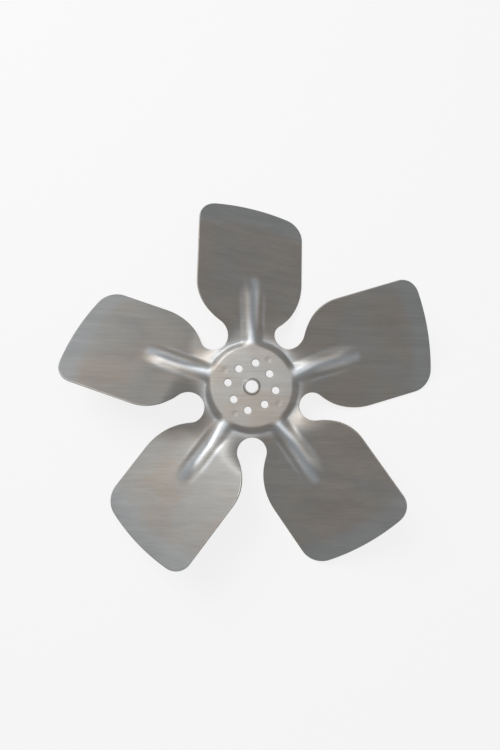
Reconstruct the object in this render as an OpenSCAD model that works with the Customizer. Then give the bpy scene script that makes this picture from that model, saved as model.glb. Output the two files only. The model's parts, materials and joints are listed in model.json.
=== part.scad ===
// Five-blade axial fan blade, pressed from one sheet of aluminium.
// The origin is on the fan's axis at the back face of the hub, with +Z out of the front face.
// One rib points along +Y, and the other blades follow at equal angles.
// In a blade's own frame u runs across it, to the right seen from the front, and v runs outwards.
// The left edge of a blade stands forward of its right edge.

/* [Sheet] */
// Diameter over the blade tips
fan_d = 254; // [240:1:270]
// Number of blades
blade_count = 5; // [4:1:5]
// Thickness of the sheet
sheet_t = 1.2; // [0.8:0.1:1.6]

/* [Blade] */
// Width of a blade between its long edges, seen along the axis
blade_w = 72; // [64:1:76]
// Angle of the long edges to the rib
edge_lean = 0.9; // [0:0.1:2]
// Angle of the blade to the plane of the fan
pitch = 28.6; // [20:0.1:34]
// Distance over which the blade twists from the hub's plane to its pitch
twist_len = 24; // [18:1:32]
// Rise of both long edges above the middle of the blade
camber = 1.4; // [0:0.1:3]
// Radius of the shoulder below the forward edge
forward_shoulder_r = 28; // [22:1:34]
// Radius of the shoulder below the rear edge
rear_shoulder_r = 43; // [36:1:48]
// Radius of the tip corner on the forward edge
forward_corner_r = 12.8; // [8:0.1:18]
// Radius of the tip corner on the rear edge
rear_corner_r = 14.2; // [8:0.1:20]

/* [Notches between the blades] */
// Radius of a notch
notch_r = 9.9; // [8:0.1:11]
// Distance from the axis to the centre of a notch
notch_centre_r = 44.1; // [43:0.1:47]
// Angle of the notches to the lines midway between the ribs
notch_turn = 0.7; // [0:0.1:1.5]

/* [Hub] */
// Diameter of the flat hub face
hub_face_d = 53; // [50:0.5:55]
// Diameter at the foot of the raised hub
hub_foot_d = 65; // [62:0.5:67]
// Height of the hub face above the roots of the blades
hub_rise = 2.4; // [1:0.1:4]

/* [Ribs] */
// Width of a rib at its foot
rib_w = 16.2; // [12:0.1:18]
// Height of a rib
rib_rise = 2.4; // [1:0.1:3]
// Distance from the axis at which a rib starts to fade out
rib_fade_r = 62; // [50:1:70]
// Distance from the axis to the end of a rib
rib_end_r = 80; // [74:1:90]

/* [Holes] */
// Diameter of the centre hole
centre_hole_d = 8.5; // [6:0.1:10]
// Width of the drawn collar round the centre hole
collar_w = 1.2; // [0.8:0.1:2]
// Height of the collar above the hub face
collar_h = 0.9; // [0.4:0.1:2]
// Diameter of the screw holes
screw_hole_d = 5; // [4:0.1:5.5]
// Diameter of the circle through the inner four screw holes
inner_pcd = 29.8; // [28:0.1:31]
// Diameter of the circle through the outer four screw holes
outer_pcd = 32.6; // [31:0.1:36]

/* [Press marks] */
// Diameter of the round press marks
mark_d = 4.4; // [3:0.1:5]
// Depth of the press marks
mark_depth = 0.2; // [0.1:0.05:0.3]
// Distance from the axis to the press marks
mark_r = 21.3; // [21:0.1:23]

/* [Hidden] */
$fn = 64;
metal = [0.62, 0.61, 0.59];

sector = 360 / blade_count;
tip_r = fan_d / 2;
face_r = hub_face_d / 2;
foot_r = hub_foot_d / 2;
edge_mid_v = 0.7 * tip_r;
notch_foot_r = notch_centre_r - notch_r;
twist_start = notch_foot_r * cos(sector / 2);
cut = 1;
probe = 0.05;

// Steps of the sheet's mesh
rib_steps = 4;
wing_steps = 3;
hub_steps = 6;
notch_steps = 8;
shoulder_steps = 6;
edge_steps = 5;
corner_steps = 5;
cols = 2 * (rib_steps + wing_steps);
rows = notch_steps + shoulder_steps + edge_steps + corner_steps;
ring = blade_count * cols;

// A smooth step from 0 to 1
function ease(t) = let (c = max(0, min(1, t))) c * c * (3 - 2 * c);
function mix(a, b, t) = a + (b - a) * t;
function polar(r, a) = [r * sin(a), r * cos(a)];
function direction(v) = atan2(v.y, v.x);
function arc(c, r, from, to, steps) =
    [for (i = [0:steps]) let (a = mix(from, to, i / steps)) c + r * [cos(a), sin(a)]];
// The outer point on the line from p along d that lies r away from c
function reach(p, d, c, r) =
    let (w = p - c, b = w * d) p + d * (sqrt(b * b - w * w + r * r) - b);

// Height of the sheet's middle surface, in a blade's own frame
function hub_form(r) = 1 - ease((r - face_r) / (foot_r - face_r));
function rib_form(u, v) =
    (abs(u) < rib_w / 2 ? (1 + cos(360 * u / rib_w)) / 2 : 0)
    * (1 - ease((v - rib_fade_r) / (rib_end_r - rib_fade_r)));
function emboss(u, v) =
    let (hub = hub_form(norm([u, v])))
    hub_rise * hub + rib_rise * rib_form(u, v) * (1 - hub);
function twist(v) = ease((v - twist_start) / twist_len);
function height(u, v) =
    sheet_t / 2 - hub_rise + emboss(u, v)
    + twist(v) * (camber * pow(2 * u / blade_w, 2) - u * tan(pitch));
function slope(u, v) =
    [height(u + probe, v) - height(u - probe, v), height(u, v + probe) - height(u, v - probe)] / (2 * probe);

// One side of a blade's outline, from the foot of the notch to the tip.
// It is worked out with the side on +u, and side = -1 mirrors it to the forward edge.
function side_outline(side) =
    let (
        lean = side * edge_lean,
        along = [sin(lean), cos(lean)],
        inward = [-cos(lean), sin(lean)],
        mid = [blade_w / 2, edge_mid_v],
        shoulder_r = side > 0 ? rear_shoulder_r : forward_shoulder_r,
        corner_r = side > 0 ? rear_corner_r : forward_corner_r,
        notch = polar(notch_centre_r, sector / 2 - side * notch_turn),
        shoulder = reach(mid + inward * shoulder_r, along, notch, shoulder_r + notch_r),
        corner = reach(mid + inward * corner_r, along, [0, 0], tip_r - corner_r),
        to_shoulder = direction(shoulder - notch),
        notch_arc = arc(notch, notch_r, direction(-notch), to_shoulder - 360, notch_steps),
        shoulder_arc = arc(shoulder, shoulder_r, to_shoulder - 180, -lean, shoulder_steps),
        corner_arc = arc(corner, corner_r, -lean, direction(corner), corner_steps),
        edge_from = shoulder_arc[shoulder_steps],
        edge = [for (i = [1:edge_steps]) mix(edge_from, corner_arc[0], i / edge_steps)],
        half = concat(
            notch_arc,
            [for (i = [1:shoulder_steps]) shoulder_arc[i]],
            edge,
            [for (i = [1:corner_steps]) corner_arc[i]]
        )
    )
    [for (p = half) [side * p.x, p.y]];

forward_side = side_outline(-1);
rear_side = side_outline(1);

// Place of a column between the two sides of a row: even steps over the rib, then even steps to the side
function column(j, forward_u, rear_u) =
    let (n = j - cols / 2, side_u = n < 0 ? -forward_u : rear_u, a = abs(n))
    sign(n) * (a <= rib_steps
        ? rib_w / 2 * a / rib_steps
        : mix(rib_w / 2, side_u, (a - rib_steps) / wing_steps));
function on_circle(r, u) = [u, sqrt(r * r - u * u)];
// Points of the hub lie on circles
function hub_point(i, j) =
    let (
        r = mix(face_r, foot_r, i / hub_steps),
        ring_r = i > hub_steps ? notch_foot_r : r,
        forward_u = polar(ring_r, -sector / 2 - notch_turn).x,
        rear_u = polar(ring_r, sector / 2 - notch_turn).x
    )
    on_circle(ring_r, column(j, forward_u, rear_u));
// Rows of the blade bow outwards between its sides, and the last one is the tip's own arc
function blade_point(i, j) =
    let (
        f = forward_side[i],
        b = rear_side[i],
        t = i / rows,
        bow_0 = notch_foot_r - (forward_side[0].y + rear_side[0].y) / 2,
        bow_1 = tip_r - (forward_side[rows].y + rear_side[rows].y) / 2,
        middle = (f.y + b.y) / 2 + bow_0 * pow(1 - t, 2) + bow_1 * pow(t, 2),
        u = column(j, f.x, b.x),
        side_p = u < 0 ? f : b
    )
    i == rows ? on_circle(tip_r, u) : [u, mix(middle, side_p.y, pow(u / side_p.x, 2))];

// A point of the sheet's front (face = 1) or back (face = -1), on blade k
function sheet_point(p, k, face) =
    let (
        s = slope(p.x, p.y),
        normal = [-s.x, -s.y, 1] / norm([s.x, s.y, 1]),
        q = [p.x, p.y, height(p.x, p.y)] + face * sheet_t / 2 * normal,
        a = -sector * k
    )
    [q.x * cos(a) - q.y * sin(a), q.x * sin(a) + q.y * cos(a), q.z];

function sheet_points(face) = concat(
    [for (i = [0:hub_steps + 1], k = [0:blade_count - 1], j = [0:cols - 1])
        sheet_point(hub_point(i, j), k, face)],
    [for (k = [0:blade_count - 1], i = [1:rows], j = [0:cols]) sheet_point(blade_point(i, j), k, face)]
);
hub_count = (hub_steps + 2) * ring;
side_count = hub_count + blade_count * rows * (cols + 1);
function hub_index(i, k, j) = i * ring + (k * cols + j) % ring;
function blade_index(k, i, j) =
    i == 0 ? hub_index(hub_steps + 1, k, j) : hub_count + (k * rows + i - 1) * (cols + 1) + j;

// Faces of the front, clockwise seen from outside, and of the walls round the outline
front_faces = concat(
    [[for (m = [0:ring - 1]) m]],
    [for (i = [0:hub_steps], k = [0:blade_count - 1], j = [0:cols - 1])
        [hub_index(i, k, j), hub_index(i + 1, k, j), hub_index(i + 1, k, j + 1), hub_index(i, k, j + 1)]],
    [for (k = [0:blade_count - 1], i = [0:rows - 1], j = [0:cols - 1])
        [blade_index(k, i, j), blade_index(k, i + 1, j), blade_index(k, i + 1, j + 1), blade_index(k, i, j + 1)]]
);
outline_pairs = concat(
    [for (k = [0:blade_count - 1], i = [0:rows - 1]) [blade_index(k, i, 0), blade_index(k, i + 1, 0)]],
    [for (k = [0:blade_count - 1], j = [0:cols - 1]) [blade_index(k, rows, j), blade_index(k, rows, j + 1)]],
    [for (k = [0:blade_count - 1], i = [0:rows - 1])
        [blade_index(k, i + 1, cols), blade_index(k, i, cols)]]
);

module sheet() {
    back_faces = [for (f = front_faces) [for (n = [len(f) - 1:-1:0]) f[n] + side_count]];
    walls = [for (e = outline_pairs) [e[1], e[0], e[0] + side_count, e[1] + side_count]];
    polyhedron(
        points = concat(sheet_points(1), sheet_points(-1)),
        faces = concat(front_faces, back_faces, walls),
        convexity = 6
    );
}

// The lip that is drawn up round the centre hole
module collar() {
    inner = centre_hole_d / 2;
    outer = inner + collar_w;
    flare = collar_h / 2;
    rotate_extrude()
        polygon([
            [inner - cut, sheet_t / 2],
            [outer + flare, sheet_t / 2],
            [outer + flare, sheet_t * 0.9],
            [outer, sheet_t + flare],
            [outer - collar_w / 3, sheet_t + collar_h],
            [inner - cut, sheet_t + collar_h]
        ]);
}

module drill(d, r = 0, a = 0) {
    rotate(a)
        translate([r, 0, -cut])
            cylinder(d = d, h = sheet_t + collar_h + 2 * cut);
}

module screw_holes() {
    first = 90 + sector / 2;
    for (i = [0:3]) {
        drill(screw_hole_d, inner_pcd / 2, first + 90 * i);
        drill(screw_hole_d, outer_pcd / 2, first + 90 * i + 45);
    }
}

// Shallow round marks midway between neighbouring screw holes
module press_marks() {
    ball_r = (pow(mark_d / 2, 2) + pow(mark_depth, 2)) / (2 * mark_depth);
    for (i = [0:3])
        rotate(90 + sector / 2 + 22.5 + 90 * i)
            translate([mark_r, 0, sheet_t - mark_depth + ball_r])
                sphere(r = ball_r);
}

module fan_blade() {
    color(metal)
        difference() {
            union() {
                sheet();
                collar();
            }
            drill(centre_hole_d);
            screw_holes();
            press_marks();
        }
}

fan_blade();
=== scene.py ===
"""The looks of a five-blade axial fan blade, pressed from one sheet of aluminium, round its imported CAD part."""

import json
import math

import bmesh
import bpy
from bpy.props import FloatProperty, FloatVectorProperty, IntProperty, PointerProperty
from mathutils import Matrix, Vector


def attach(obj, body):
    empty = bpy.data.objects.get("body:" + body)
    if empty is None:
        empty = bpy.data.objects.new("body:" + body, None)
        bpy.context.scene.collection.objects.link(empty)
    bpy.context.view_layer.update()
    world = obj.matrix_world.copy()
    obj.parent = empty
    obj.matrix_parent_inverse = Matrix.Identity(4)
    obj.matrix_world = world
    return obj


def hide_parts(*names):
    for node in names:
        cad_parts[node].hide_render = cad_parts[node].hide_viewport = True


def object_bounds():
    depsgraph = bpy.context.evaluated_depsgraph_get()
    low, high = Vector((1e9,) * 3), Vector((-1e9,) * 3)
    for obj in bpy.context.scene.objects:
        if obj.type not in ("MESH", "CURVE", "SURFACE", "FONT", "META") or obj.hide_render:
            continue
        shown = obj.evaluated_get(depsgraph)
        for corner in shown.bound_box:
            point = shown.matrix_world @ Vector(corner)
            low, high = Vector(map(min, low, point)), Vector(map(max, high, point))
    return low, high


bl_info = {
    "name": "Pressed Fan Blade",
    "version": (1, 0, 0),
    "blender": (4, 5, 0),
    "location": "3D View > Sidebar > Fan Blade",
    "description": "Builds the pressed sheet of a fan blade, its rolled metal and its stage",
    "category": "Object",
}

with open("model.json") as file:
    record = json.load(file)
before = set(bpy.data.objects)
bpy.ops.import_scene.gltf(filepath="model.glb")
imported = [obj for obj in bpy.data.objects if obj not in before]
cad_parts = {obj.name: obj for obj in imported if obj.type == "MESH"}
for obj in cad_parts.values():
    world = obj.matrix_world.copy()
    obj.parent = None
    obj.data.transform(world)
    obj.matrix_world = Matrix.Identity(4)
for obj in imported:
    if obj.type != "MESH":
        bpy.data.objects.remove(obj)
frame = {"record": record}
cad_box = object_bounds()

NODE = "fan_blade"
BODY = "root"
MOUNTS = {m["name"]: m["dims"] for m in frame["record"]["mounts"]}
MM = 0.001

# Steps of the sheet's mesh
RIB_STEPS = 16
WING_STEPS = 12
HUB_STEPS = 18
NOTCH_STEPS = 20
SHOULDER_STEPS = 14
EDGE_STEPS = 22
CORNER_STEPS = 12
HOLE_STEPS = 40
ROUND_STEPS = 3
COLS = 2 * (RIB_STEPS + WING_STEPS)
ROWS = NOTCH_STEPS + SHOULDER_STEPS + EDGE_STEPS + CORNER_STEPS

MARKS = ("crown", "foot", "flank", "tip", "lead", "root", "ring", "face")


def size(name, description, millimetres):
    """A length that a user may change, given here in millimetres."""
    return FloatProperty(name=name, description=description, default=millimetres * MM, unit="LENGTH", precision=4)


def angle(name, description, degrees):
    """An angle that a user may change, given here in degrees."""
    return FloatProperty(name=name, description=description, default=math.radians(degrees), subtype="ANGLE")


def share(name, description, default):
    """A share from 0 to 1 that a user may change."""
    return FloatProperty(name=name, description=description, default=default, min=0, max=1, subtype="FACTOR")


def colour(name, description, default):
    """A colour that a user may change."""
    return FloatVectorProperty(name=name, description=description, default=default, min=0, max=1, subtype="COLOR")


class SheetSizes(bpy.types.PropertyGroup):
    """Sizes of the pressed sheet, as the CAD part has them."""

    blade_count: IntProperty(name="Blades", description="Number of blades", default=5)
    tip_radius: size("Tip radius", "Distance from the axis to the blade tips", cad_box[1].y / MM)
    thickness: size("Thickness", "Thickness of the sheet", 1.2)
    edge_round: size("Edge rounding", "Radius of the deburred edges of the sheet", 0.3)
    blade_width: size("Blade width", "Width of a blade between its long edges", 72)
    edge_middle: size("Edge middle", "Distance from the axis to the middle of the long edges", 88.9)
    edge_lean: angle("Edge lean", "Angle of the long edges to the rib", 0.9)
    pitch: angle("Pitch", "Angle of a blade to the plane of the fan", 28.6)
    twist_length: size("Twist length", "Distance over which a blade twists to its pitch", 24)
    camber: size("Camber", "Rise of the long edges above the middle of a blade", 1.4)
    forward_shoulder: size("Forward shoulder", "Radius of the shoulder below the forward edge", 28)
    rear_shoulder: size("Rear shoulder", "Radius of the shoulder below the rear edge", 43)
    forward_corner: size("Forward corner", "Radius of the tip corner on the forward edge", 12.8)
    rear_corner: size("Rear corner", "Radius of the tip corner on the rear edge", 14.2)
    notch_radius: size("Notch radius", "Radius of the round notches between the blades", 9.9)
    notch_centre: size("Notch centre", "Distance from the axis to the centre of a notch", 44.1)
    notch_turn: angle("Notch turn", "Angle of the notches to the lines midway between the ribs", 0.7)
    hub_face: size("Hub face", "Radius of the flat hub face", 26.5)
    hub_foot: size("Hub foot", "Radius at the foot of the raised hub", 32.5)
    hub_rise: size("Hub rise", "Height of the hub face above the roots of the blades", 2.4)
    rib_width: size("Rib width", "Width of a rib at its foot", 16.2)
    rib_rise: size("Rib rise", "Height of a rib", 2.4)
    rib_fade: size("Rib fade", "Distance from the axis at which a rib starts to fade out", 62)
    rib_end: size("Rib end", "Distance from the axis to the end of a rib", 80)
    collar_width: size("Collar width", "Width of the drawn collar round the centre hole", 1.2)
    collar_height: size("Collar height", "Height of the collar above the hub face", 0.9)
    mark_radius: size("Press mark radius", "Radius of the round press marks", 2.2)
    mark_depth: size("Press mark depth", "Depth of the round press marks", 0.2)
    mark_circle: size("Press mark circle", "Distance from the axis to the press marks", 21.3)


class MetalAndPaintedLight(bpy.types.PropertyGroup):
    """Colours and gloss of the rolled aluminium, with the colours of its painted highlight, painted shade and painted
    bluish reflection.
    """

    metal: colour("Metal", "Colour of the rolled sheet", (0.46, 0.455, 0.44))
    warm: colour("Warm patches", "Colour where the sheet has a warm stain", (0.47, 0.43, 0.39))
    # This colour makes the tips bluish and lighter, and on the hub's ring it is a painted bluish reflection.
    bluish_tint_and_painted_reflection: colour("Cool patches", "Colour where the sheet was rubbed clean", (0.47, 0.49, 0.50))
    # This colour is a painted highlight, laid along the rib crowns and the rib feet.
    painted_highlight: colour("Burnish", "Colour where the press tool rubbed the ribs bright", (0.72, 0.76, 0.80))
    # This colour is painted shade, laid on the rib flanks.
    painted_flank_shade: colour("Dull", "Colour of the dull lines beside the burnish", (0.26, 0.26, 0.25))
    roughness: share("Roughness", "Roughness of the rolled sheet", 0.47)
    burnish_roughness: share("Burnish roughness", "Roughness of the rubbed ribs", 0.36)


class StageLight(bpy.types.PropertyGroup):
    """The floor, the lamps and the camera."""

    floor: colour("Floor", "Colour of the floor", (0.9, 0.9, 0.9))
    world: FloatProperty(name="World", description="Strength of the light from all round", default=0.3, min=0)
    key: FloatProperty(name="Key", description="Power of the lamp at the upper left, in watts", default=6, min=0)
    fill: FloatProperty(name="Fill", description="Power of the lamp above the fan, in watts", default=2, min=0)
    focal_length: FloatProperty(name="Focal length", description="Focal length of the camera", default=25.065,
                                subtype="DISTANCE_CAMERA")


def ease(t):
    """A smooth step from 0 to 1."""
    c = max(0.0, min(1.0, t))
    return c * c * (3 - 2 * c)


def mix(a, b, t):
    return a + (b - a) * t


def bump(x, width):
    """A smooth hump of height 1 at 0 that has faded at width on either side."""
    return 1 - ease(abs(x) / width)


def polar(radius, turn):
    """The point at a turn from the v axis, towards +u."""
    return Vector((radius * math.sin(turn), radius * math.cos(turn)))


def direction(v):
    return math.atan2(v.y, v.x)


def arc(centre, radius, start, end, steps):
    """Points along an arc, both ends among them."""
    angles = (mix(start, end, i / steps) for i in range(steps + 1))
    return [centre + radius * Vector((math.cos(a), math.sin(a))) for a in angles]


def reach(point, along, centre, radius):
    """The outer point on a line that lies one radius away from a centre."""
    w = point - centre
    b = w.dot(along)
    return point + along * (math.sqrt(b * b - w.dot(w) + radius * radius) - b)


class PressedForm:
    """Outline and middle surface of the sheet, in a blade's own frame: u runs across the blade and v outwards."""

    def __init__(self, sizes):
        self.s = sizes
        self.sector = 2 * math.pi / sizes.blade_count
        self.notch_foot = sizes.notch_centre - sizes.notch_radius
        self.twist_start = self.notch_foot * math.cos(self.sector / 2)

    def hub(self, r):
        s = self.s
        return 1 - ease((r - s.hub_face) / (s.hub_foot - s.hub_face))

    def rib(self, u, v):
        s = self.s
        if abs(u) >= s.rib_width / 2:
            return 0.0
        across = (1 + math.cos(2 * math.pi * u / s.rib_width)) / 2
        return across * (1 - ease((v - s.rib_fade) / (s.rib_end - s.rib_fade)))

    def height(self, u, v):
        """Height of the middle surface."""
        s = self.s
        hub = self.hub(math.hypot(u, v))
        emboss = s.hub_rise * hub + s.rib_rise * self.rib(u, v) * (1 - hub)
        twist = ease((v - self.twist_start) / s.twist_length)
        bend = s.camber * (2 * u / s.blade_width) ** 2 - u * math.tan(s.pitch)
        return s.thickness / 2 - s.hub_rise + emboss + twist * bend

    def place(self, p, blade, offset):
        """The point at an offset from the middle surface along its normal, on one of the blades."""
        probe = 0.05 * MM
        rise_u = (self.height(p.x + probe, p.y) - self.height(p.x - probe, p.y)) / (2 * probe)
        rise_v = (self.height(p.x, p.y + probe) - self.height(p.x, p.y - probe)) / (2 * probe)
        normal = Vector((-rise_u, -rise_v, 1)).normalized()
        q = Vector((p.x, p.y, self.height(p.x, p.y))) + offset * normal
        turn = -self.sector * blade
        c, d = math.cos(turn), math.sin(turn)
        return Vector((q.x * c - q.y * d, q.x * d + q.y * c, q.z))

    def side(self, side, inset):
        """One side of a blade's outline, from the foot of the notch to the tip, moved into the sheet by an inset."""
        s = self.s
        lean = side * s.edge_lean
        along = Vector((math.sin(lean), math.cos(lean)))
        inward = Vector((-math.cos(lean), math.sin(lean)))
        middle = Vector((s.blade_width / 2, s.edge_middle))
        shoulder_r = s.rear_shoulder if side > 0 else s.forward_shoulder
        corner_r = s.rear_corner if side > 0 else s.forward_corner
        notch = polar(s.notch_centre, self.sector / 2 - side * s.notch_turn)
        shoulder = reach(middle + inward * shoulder_r, along, notch, shoulder_r + s.notch_radius)
        corner = reach(middle + inward * corner_r, along, Vector((0, 0)), s.tip_radius - corner_r)
        to_shoulder = direction(shoulder - notch)
        notch_arc = arc(notch, s.notch_radius + inset, direction(-notch), to_shoulder - 2 * math.pi, NOTCH_STEPS)
        shoulder_arc = arc(shoulder, shoulder_r - inset, to_shoulder - math.pi, -lean, SHOULDER_STEPS)
        corner_arc = arc(corner, corner_r - inset, -lean, direction(corner), CORNER_STEPS)
        edge = [mix(shoulder_arc[-1], corner_arc[0], i / EDGE_STEPS) for i in range(1, EDGE_STEPS + 1)]
        half = notch_arc + shoulder_arc[1:] + edge + corner_arc[1:]
        return [Vector((side * p.x, p.y)) for p in half]

    def column(self, j, forward_u, rear_u):
        """Place of a column: even steps over the rib, then even steps to the side."""
        n = j - COLS // 2
        side_u = -forward_u if n < 0 else rear_u
        rib_u = self.s.rib_width / 2
        a = abs(n)
        u = rib_u * a / RIB_STEPS if a <= RIB_STEPS else mix(rib_u, side_u, (a - RIB_STEPS) / WING_STEPS)
        return math.copysign(u, n) if n else 0.0

    def on_circle(self, radius, j, forward_u, rear_u):
        u = self.column(j, forward_u, rear_u)
        return Vector((u, math.sqrt(radius * radius - u * u)))

    def hub_point(self, radius, j):
        turn = self.s.notch_turn
        forward_u = polar(radius, -self.sector / 2 - turn).x
        rear_u = polar(radius, self.sector / 2 - turn).x
        return self.on_circle(radius, j, forward_u, rear_u)

    def blade_rows(self, inset):
        """Rows of plan points from the notches to the tip. They bow outwards, and the last one is the tip's own arc."""
        forward, rear = self.side(-1, inset), self.side(1, inset)
        foot, tip = self.notch_foot - inset, self.s.tip_radius - inset
        bow_foot = foot - (forward[0].y + rear[0].y) / 2
        bow_tip = tip - (forward[-1].y + rear[-1].y) / 2
        rows = []
        for i, (f, b) in enumerate(zip(forward, rear)):
            if i == ROWS:
                rows.append([self.on_circle(tip, j, f.x, b.x) for j in range(COLS + 1)])
                continue
            t = i / ROWS
            middle = (f.y + b.y) / 2 + bow_foot * (1 - t) ** 2 + bow_tip * t ** 2
            row = []
            for j in range(COLS + 1):
                u = self.column(j, f.x, b.x)
                side = f if u < 0 else b
                row.append(Vector((u, mix(middle, side.y, (u / side.x) ** 2))))
            rows.append(row)
        return rows

    def rim(self, inset):
        """Plan points along one blade's share of the outline: up the forward side, over the tip and down to the notch."""
        forward, rear = self.side(-1, inset), self.side(1, inset)
        tip = self.s.tip_radius - inset
        over = [self.on_circle(tip, j, forward[-1].x, rear[-1].x) for j in range(1, COLS)]
        return forward + over + rear[:0:-1]


class SheetMesh:
    """Points, faces and marks of the pressed sheet, which show where the material paints highlight, shade and a bluish
    reflection, and where it makes the rib crowns smoother.
    """

    def __init__(self, form):
        self.form = form
        self.points = []
        self.faces = []
        self.marks = {name: [] for name in MARKS}

    def add(self, point, marks):
        self.points.append(point)
        for name in MARKS:
            self.marks[name].append(marks.get(name, 0.0))
        return len(self.points) - 1

    def add_place(self, plan, blade, offset):
        return self.add(self.form.place(plan, blade, offset), rubbing_and_painted_light_marks(self.form.s, plan))

    def join(self, a, b, closed=True):
        """Faces between two rows or loops of as many points."""
        n = len(a)
        for i in range(n if closed else n - 1):
            k = (i + 1) % n
            self.faces.append((a[i], a[k], b[k], b[i]))

    def side_of_sheet(self, offset, inset):
        """The hub's rings and the blades' rows on the front or back. Returns the flat face's loop and the rim loop."""
        form, s = self.form, self.form.s
        blades = range(s.blade_count)
        radii = [mix(s.hub_face, s.hub_foot, i / HUB_STEPS) for i in range(HUB_STEPS + 1)]
        radii.append(form.notch_foot - inset)
        rings = []
        for radius in radii:
            ring = [self.add_place(form.hub_point(radius, j), k, offset) for k in blades for j in range(COLS)]
            rings.append(ring)
        for a, b in zip(rings, rings[1:]):
            self.join(a, b)
        plan = form.blade_rows(inset)
        rim = []
        for k in blades:
            root = [rings[-1][(k * COLS + j) % len(rings[-1])] for j in range(COLS + 1)]
            rows = [root]
            rows += [[self.add_place(p, k, offset) for p in row] for row in plan[1:]]
            for a, b in zip(rows, rows[1:]):
                self.join(a, b, closed=False)
            rim += [row[0] for row in rows] + rows[-1][1:-1] + [row[-1] for row in rows[:0:-1]]
        return rings[0], rim

    def rim_loop(self, offset, inset):
        plan = self.form.rim(inset)
        return [self.add_place(p, k, offset) for k in range(self.form.s.blade_count) for p in plan]

    def turned(self, centre, profile, steps, marks=None):
        """Loops of a turned shape round a centre. The profile is a list of radius and height."""
        loops = []
        for radius, z in profile:
            loop = []
            for i in range(steps):
                a = 2 * math.pi * i / steps
                loop.append(self.add(centre + Vector((radius * math.cos(a), radius * math.sin(a), z)), marks or {}))
            loops.append(loop)
        for a, b in zip(loops, loops[1:]):
            self.join(a, b)
        return loops


def rubbing_and_painted_light_marks(s, p):
    """How strongly each mark shows at a plan point of a blade: the rib crown that the press tool rubbed, with a painted
    highlight on it, painted highlight lines at the rib's feet, painted shade on its flanks, a bluish tint towards the
    tips and a painted bluish reflection on the hub's ring. The lead and root marks are kept on the mesh but not read by
    the material.
    """
    r = p.length
    rise = ease((p.y - 36 * MM) / (8 * MM))
    crown_u = p.x - 1.6 * MM * ease((p.y - 40 * MM) / (37 * MM))
    # The crown mask places the painted highlight along the rib crown, where the roughness is also made lower as rubbed
    # metal.
    crown = bump(crown_u, 4.6 * MM) * (1 - ease((p.y - 74 * MM) / (5 * MM))) * ease((p.y - 28 * MM) / (3 * MM))
    foot_fade = 1 - ease((p.y - 58 * MM) / (14 * MM))
    # The foot mask places thin painted highlight lines along the rib's feet.
    foot = (bump(p.x - 7.8 * MM, 1.5 * MM) + bump(p.x + 7.8 * MM, 1.5 * MM)) * foot_fade * rise
    # The flank mask places painted shade on the rib's flanks.
    flank = (bump(p.x - 5.0 * MM, 2.2 * MM) + bump(p.x + 5.0 * MM, 2.2 * MM)) * foot_fade * rise
    # The tip mask turns the colour bluish and lighter towards the tips.
    tip = ease((r - (s.tip_radius - 18 * MM)) / (10 * MM))
    lead = ease((-p.x - 17 * MM) / (10 * MM)) * rise
    root = bump(p.x + 13 * MM, 7 * MM) * bump(p.y - 38 * MM, 8 * MM)
    # The ring mask places a painted bluish reflection round the foot of the raised hub.
    ring = bump(r - s.hub_foot, 4 * MM)
    return {"crown": crown, "foot": foot, "flank": flank, "tip": tip, "lead": lead, "root": root, "ring": ring}


def rounded_hole(radius, thickness, edge):
    """Profile of a punched hole from the front to the back, with a flat land round it on both faces."""
    land = 2 * edge
    turns = [math.pi / 2 * i / ROUND_STEPS for i in range(ROUND_STEPS + 1)]
    front = [(radius + edge * (1 - math.sin(a)), thickness - edge * (1 - math.cos(a))) for a in turns]
    back = [(r, thickness - z) for r, z in reversed(front)]
    return [(radius + edge + land, thickness)] + front + back + [(radius + edge + land, 0.0)]


def collar_profile(s, radius):
    """Profile of the centre hole with its drawn collar, from the front to the back."""
    top = s.thickness + s.collar_height
    outer = radius + s.collar_width
    fillet = 0.55 * MM
    lip = s.collar_width / 2
    quarter = [math.pi / 2 * i / ROUND_STEPS for i in range(ROUND_STEPS + 1)]
    foot = [(outer + fillet * (1 - math.sin(a)), s.thickness + fillet * (1 - math.cos(a))) for a in quarter]
    rolled = [(radius + lip + lip * math.cos(a), top - lip * (1 - math.sin(a))) for a in quarter]
    inner = [(radius + lip - lip * math.sin(a), top - lip * (1 - math.cos(a))) for a in quarter[1:]]
    lead_in = s.edge_round * 1.5
    back = [(radius + lead_in * (1 - math.cos(a)), lead_in * (1 - math.sin(a))) for a in quarter]
    land = 3 * s.edge_round
    return [(outer + fillet + land, s.thickness)] + foot + rolled + inner + back + [(radius + lead_in + land, 0.0)]


def dish_profile(s):
    """Profile of a shallow round press mark, from its land to near its middle."""
    ball = (s.mark_radius ** 2 + s.mark_depth ** 2) / (2 * s.mark_depth)
    profile = [(s.mark_radius + 2 * s.edge_round, s.thickness)]
    for share_in in (1.0, 0.75, 0.5, 0.25):
        r = s.mark_radius * share_in
        profile.append((r, s.thickness - s.mark_depth + ball - math.sqrt(ball * ball - r * r)))
    return profile


def on_hub(radius, turn):
    return Vector((radius * math.cos(turn), radius * math.sin(turn), 0))


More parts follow.
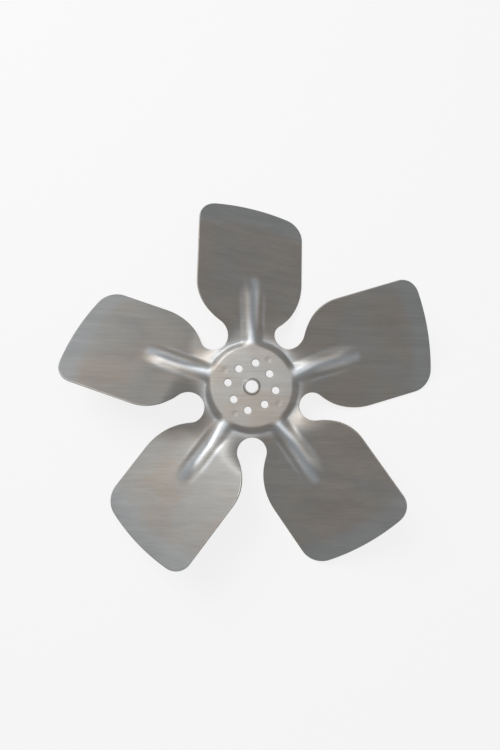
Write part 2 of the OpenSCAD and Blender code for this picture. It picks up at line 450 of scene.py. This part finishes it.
def build_sheet(s):
    """The whole pressed sheet as one closed mesh, with its finish marks as attributes."""
    form = PressedForm(s)
    made = SheetMesh(form)
    half, edge = s.thickness / 2, s.edge_round
    support = 2.5 * edge
    front_ring, front_rim = made.side_of_sheet(half, support)
    back_ring, back_rim = made.side_of_sheet(-half, support)

    turns = [math.pi / 2 * i / ROUND_STEPS for i in range(ROUND_STEPS + 1)]
    rounding = [(half - edge * (1 - math.cos(a)), edge * (1 - math.sin(a))) for a in turns]
    loops = [made.rim_loop(offset, inset) for offset, inset in rounding]
    loops += [made.rim_loop(-offset, inset) for offset, inset in reversed(rounding)]
    for a, b in zip([front_rim] + loops, loops + [back_rim]):
        made.join(a, b)

    front_loops, back_loops = [front_ring], [back_ring]
    bore = MOUNTS["centre_bore"]["r_mm"] * MM
    holes = [(on_hub(0, 0), collar_profile(s, bore))]
    first = math.pi / 2 + form.sector / 2
    for name, start in (("screws_inner", first), ("screws_outer", first + math.pi / 4)):
        dims = MOUNTS[name]
        profile = rounded_hole(dims["hole_r_mm"] * MM, s.thickness, edge)
        for i in range(dims["count"]):
            turn = start + 2 * math.pi * i / dims["count"]
            holes.append((on_hub(dims["pcd_mm"] / 2 * MM, turn), profile))
    for centre, profile in holes:
        rings = made.turned(centre, profile, HOLE_STEPS, {"face": 1.0})
        front_loops.append(rings[0])
        back_loops.append(rings[-1])
    marks = MOUNTS["screws_inner"]["count"]
    for i in range(marks):
        turn = first + math.pi / 8 + 2 * math.pi * i / marks
        dish = made.turned(on_hub(s.mark_circle, turn), dish_profile(s), HOLE_STEPS, {"face": 1.0})
        made.faces.append(tuple(dish[-1]))
        front_loops.append(dish[0])

    mesh = bpy.data.meshes.new("fan_blade_pressing")
    mesh.from_pydata([tuple(p) for p in made.points], [], made.faces)
    bm = bmesh.new()
    bm.from_mesh(mesh)
    bm.verts.ensure_lookup_table()
    for loops_of_face, z in ((front_loops, 1), (back_loops, -1)):
        edges = []
        for loop in loops_of_face:
            for a, b in zip(loop, loop[1:] + loop[:1]):
                edges.append(bm.edges.get((bm.verts[a], bm.verts[b])))
        bmesh.ops.triangle_fill(bm, use_beauty=True, edges=edges, normal=(0, 0, z))
    bmesh.ops.recalc_face_normals(bm, faces=bm.faces)
    bm.to_mesh(mesh)
    bm.free()
    for name in MARKS:
        layer = mesh.attributes.new(name, "FLOAT", "POINT")
        layer.data.foreach_set("value", made.marks[name])
    mesh.shade_smooth()
    return mesh


class Nodes:
    """A short way to write a material's node tree."""

    def __init__(self, tree):
        self.tree = tree
        tree.nodes.clear()

    def add(self, kind, **settings):
        node = self.tree.nodes.new(kind)
        for name, value in settings.items():
            setattr(node, name, value)
        return node

    def link(self, source, target):
        self.tree.links.new(source, target)

    def mark(self, name):
        return self.add("ShaderNodeAttribute", attribute_name=name).outputs["Fac"]

    def value(self, socket_or_number, target):
        if isinstance(socket_or_number, (int, float)):
            target.default_value = socket_or_number
        else:
            self.link(socket_or_number, target)

    def maths(self, operation, a, b=0.0, clamp=False):
        node = self.add("ShaderNodeMath", operation=operation, use_clamp=clamp)
        self.value(a, node.inputs[0])
        self.value(b, node.inputs[1])
        return node.outputs[0]

    def mixed(self, factor, a, b):
        """Mixes two colours, each a socket or a colour."""
        node = self.add("ShaderNodeMix", data_type="RGBA")
        self.value(factor, node.inputs[0])
        for given, target in ((a, node.inputs[6]), (b, node.inputs[7])):
            if isinstance(given, bpy.types.NodeSocket):
                self.link(given, target)
            else:
                target.default_value = (*given, 1)
        return node.outputs[2]

    def noise(self, scales, size_of, detail, roughness=0.5):
        """Noise on the object's own coordinates, stretched by a scale for each axis."""
        coords = self.add("ShaderNodeTexCoord")
        mapping = self.add("ShaderNodeMapping")
        mapping.inputs["Scale"].default_value = scales
        self.link(coords.outputs["Object"], mapping.inputs["Vector"])
        node = self.add("ShaderNodeTexNoise")
        node.inputs["Scale"].default_value = size_of
        node.inputs["Detail"].default_value = detail
        node.inputs["Roughness"].default_value = roughness
        self.link(mapping.outputs[0], node.inputs["Vector"])
        return node.outputs["Fac"]

    def ranged(self, value, low, high, to_low=0.0, to_high=1.0):
        node = self.add("ShaderNodeMapRange", interpolation_type="SMOOTHSTEP")
        self.link(value, node.inputs["Value"])
        for name, number in (("From Min", low), ("From Max", high), ("To Min", to_low), ("To Max", to_high)):
            node.inputs[name].default_value = number
        return node.outputs[0]


def rolled_aluminium(metal_and_light):
    """Rolled aluminium with a fine grain along X, warm stained patches, a bluish tint towards the tips, a painted
    bluish reflection on the hub's ring, and ribs with a painted highlight on their crowns and feet and painted shade on
    their flanks; the crowns are also made smoother.
    """
    material = bpy.data.materials.new("rolled_aluminium")
    material.use_nodes = True
    n = Nodes(material.node_tree)
    grain = n.noise((30, 1400, 200), 1, 3, 0.6)
    streaks = n.noise((9, 210, 60), 1, 2)
    patches = n.noise((22, 30, 30), 1, 3, 0.55)
    clouds = n.noise((46, 60, 60), 1, 4, 0.6)

    base = n.mixed(n.ranged(patches, 0.38, 0.62), metal_and_light.metal, metal_and_light.warm)
    # Bluish, lighter colour towards the tips.
    base = n.mixed(n.maths("MULTIPLY", n.mark("tip"), 0.75), base, metal_and_light.bluish_tint_and_painted_reflection)
    # Painted bluish reflection round the foot of the raised hub.
    base = n.mixed(n.maths("MULTIPLY", n.mark("ring"), 0.7), base, metal_and_light.bluish_tint_and_painted_reflection)
    # Painted shade on the rib flanks.
    base = n.mixed(n.maths("MULTIPLY", n.mark("flank"), 0.5), base, metal_and_light.painted_flank_shade)
    # Painted highlight lines along the rib feet.
    base = n.mixed(n.maths("MULTIPLY", n.mark("foot"), 0.45), base, metal_and_light.painted_highlight)
    # Painted highlight along the rib crowns, which the roughness below also makes smoother.
    rubbed_and_painted_highlight = n.maths("MULTIPLY", n.mark("crown"), n.ranged(clouds, 0.2, 0.7, 0.75, 1.0))
    base = n.mixed(rubbed_and_painted_highlight, base, metal_and_light.painted_highlight)
    speckle = n.maths("ADD", n.ranged(grain, 0.25, 0.75, -0.03, 0.03), n.ranged(streaks, 0.3, 0.7, -0.02, 0.02))
    shade = n.add("ShaderNodeBrightContrast")
    n.link(base, shade.inputs["Color"])
    n.link(speckle, shade.inputs["Bright"])

    rough = n.maths("ADD", n.ranged(clouds, 0.3, 0.7, -0.04, 0.04), metal_and_light.roughness)
    less = n.maths("MULTIPLY", rubbed_and_painted_highlight, metal_and_light.burnish_roughness - metal_and_light.roughness)
    rough = n.maths("ADD", rough, less, clamp=True)

    relief = n.add("ShaderNodeBump")
    relief.inputs["Strength"].default_value = 0.25
    relief.inputs["Distance"].default_value = 0.02 * MM
    n.link(grain, relief.inputs["Height"])

    shader = n.add("ShaderNodeBsdfPrincipled")
    shader.inputs["Metallic"].default_value = 1.0
    n.link(shade.outputs[0], shader.inputs["Base Color"])
    n.link(rough, shader.inputs["Roughness"])
    n.link(relief.outputs[0], shader.inputs["Normal"])
    output = n.add("ShaderNodeOutputMaterial")
    n.link(shader.outputs[0], output.inputs["Surface"])
    return material


class FANBLADE_OT_pressing(bpy.types.Operator):
    """Build the pressed sheet with its rolled metal"""

    bl_idname = "fanblade.pressing"
    bl_label = "Pressed sheet"

    def execute(self, context):
        mesh = build_sheet(context.scene.fan_sheet)
        if not mesh.polygons:
            raise RuntimeError("the pressed sheet has no faces")
        mesh.materials.append(rolled_aluminium(context.scene.fan_finish))
        sheet = bpy.data.objects.new("pressed_sheet", mesh)
        context.scene.collection.objects.link(sheet)
        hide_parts(NODE)
        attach(sheet, BODY)
        return {"FINISHED"}


def make_floor(light):
    """A pale floor under the blades, white to the camera apart from the shadow."""
    mesh = bpy.data.meshes.new("floor")
    half = 30.0
    z = cad_box[0].z
    mesh.from_pydata([(-half, -half, z), (half, -half, z), (half, half, z), (-half, half, z)], [], [(0, 1, 2, 3)])
    material = bpy.data.materials.new("pale_floor")
    material.use_nodes = True
    n = Nodes(material.node_tree)
    paint = n.add("ShaderNodeBsdfDiffuse")
    paint.inputs["Color"].default_value = (*light.floor, 1)
    glow = n.add("ShaderNodeEmission")
    glow.inputs["Color"].default_value = (1, 1, 1, 1)
    path = n.add("ShaderNodeLightPath")
    seen = n.maths("ADD", path.outputs["Is Camera Ray"], path.outputs["Is Glossy Ray"], clamp=True)
    seen = n.maths("MULTIPLY", seen, 0.8)
    blend = n.add("ShaderNodeMixShader")
    n.link(seen, blend.inputs[0])
    n.link(paint.outputs[0], blend.inputs[1])
    n.link(glow.outputs[0], blend.inputs[2])
    output = n.add("ShaderNodeOutputMaterial")
    n.link(blend.outputs[0], output.inputs["Surface"])
    mesh.materials.append(material)
    floor = bpy.data.objects.new("floor", mesh)
    bpy.context.scene.collection.objects.link(floor)


def make_world(light):
    world = bpy.data.worlds.new("studio")
    bpy.context.scene.world = world
    world.use_nodes = True
    n = Nodes(world.node_tree)
    soft = n.add("ShaderNodeBackground")
    soft.inputs["Color"].default_value = (1, 1, 1, 1)
    soft.inputs["Strength"].default_value = light.world
    white = n.add("ShaderNodeBackground")
    white.inputs["Color"].default_value = (1, 1, 1, 1)
    white.inputs["Strength"].default_value = 1.0
    path = n.add("ShaderNodeLightPath")
    blend = n.add("ShaderNodeMixShader")
    n.link(path.outputs["Is Camera Ray"], blend.inputs[0])
    n.link(soft.outputs[0], blend.inputs[1])
    n.link(white.outputs[0], blend.inputs[2])
    output = n.add("ShaderNodeOutputWorld")
    n.link(blend.outputs[0], output.inputs["Surface"])


def make_lamp(name, place, width, power):
    """A soft square lamp that faces the fan."""
    data = bpy.data.lights.new(name, "AREA")
    data.size = width
    data.energy = power
    lamp = bpy.data.objects.new(name, data)
    lamp.location = place
    lamp.rotation_euler = Vector(place).to_track_quat("Z", "Y").to_euler()
    bpy.context.scene.collection.objects.link(lamp)


def make_camera(light):
    data = bpy.data.cameras.new("camera")
    data.lens = light.focal_length
    data.sensor_width = 36
    data.clip_start = 0.01
    camera = bpy.data.objects.new("camera", data)
    camera.location = (1.174 * MM, -39.814 * MM, 350.779 * MM)
    camera.rotation_euler = [math.radians(a) for a in (7.748, 0.335, 0.390)]
    bpy.context.scene.collection.objects.link(camera)
    bpy.context.scene.camera = camera


class FANBLADE_OT_stage(bpy.types.Operator):
    """Lay the floor, hang the lamps and set up the camera"""

    bl_idname = "fanblade.stage"
    bl_label = "Stage"

    def execute(self, context):
        light = context.scene.fan_stage
        make_floor(light)
        make_world(light)
        make_lamp("key_lamp", (-0.5, 0.6, 0.9), 0.7, light.key)
        make_lamp("fill_lamp", (0.1, 0.0, 1.2), 1.0, light.fill)
        make_camera(light)
        context.scene.view_settings.view_transform = "Standard"
        return {"FINISHED"}


class FANBLADE_PT_panel(bpy.types.Panel):
    """Settings and steps of the fan blade"""

    bl_idname = "FANBLADE_PT_panel"
    bl_label = "Fan Blade"
    bl_space_type = "VIEW_3D"
    bl_region_type = "UI"
    bl_category = "Fan Blade"

    def draw(self, context):
        layout = self.layout
        for settings in (context.scene.fan_sheet, context.scene.fan_finish, context.scene.fan_stage):
            box = layout.box()
            for name in settings.bl_rna.properties.keys():
                if name not in ("rna_type", "name"):
                    box.prop(settings, name)
        for operator in OPERATORS:
            layout.operator(operator.bl_idname)


OPERATORS = (FANBLADE_OT_pressing, FANBLADE_OT_stage)
CLASSES = (SheetSizes, MetalAndPaintedLight, StageLight) + OPERATORS + (FANBLADE_PT_panel,)
SETTINGS = {"fan_sheet": SheetSizes, "fan_finish": MetalAndPaintedLight, "fan_stage": StageLight}


def register():
    for cls in CLASSES:
        bpy.utils.register_class(cls)
    for name, group in SETTINGS.items():
        setattr(bpy.types.Scene, name, PointerProperty(type=group))


def unregister():
    for name in SETTINGS:
        delattr(bpy.types.Scene, name)
    for cls in reversed(CLASSES):
        bpy.utils.unregister_class(cls)


def main():
    register()
    bpy.ops.fanblade.pressing()
    bpy.ops.fanblade.stage()


if __name__ == "__main__":
    main()
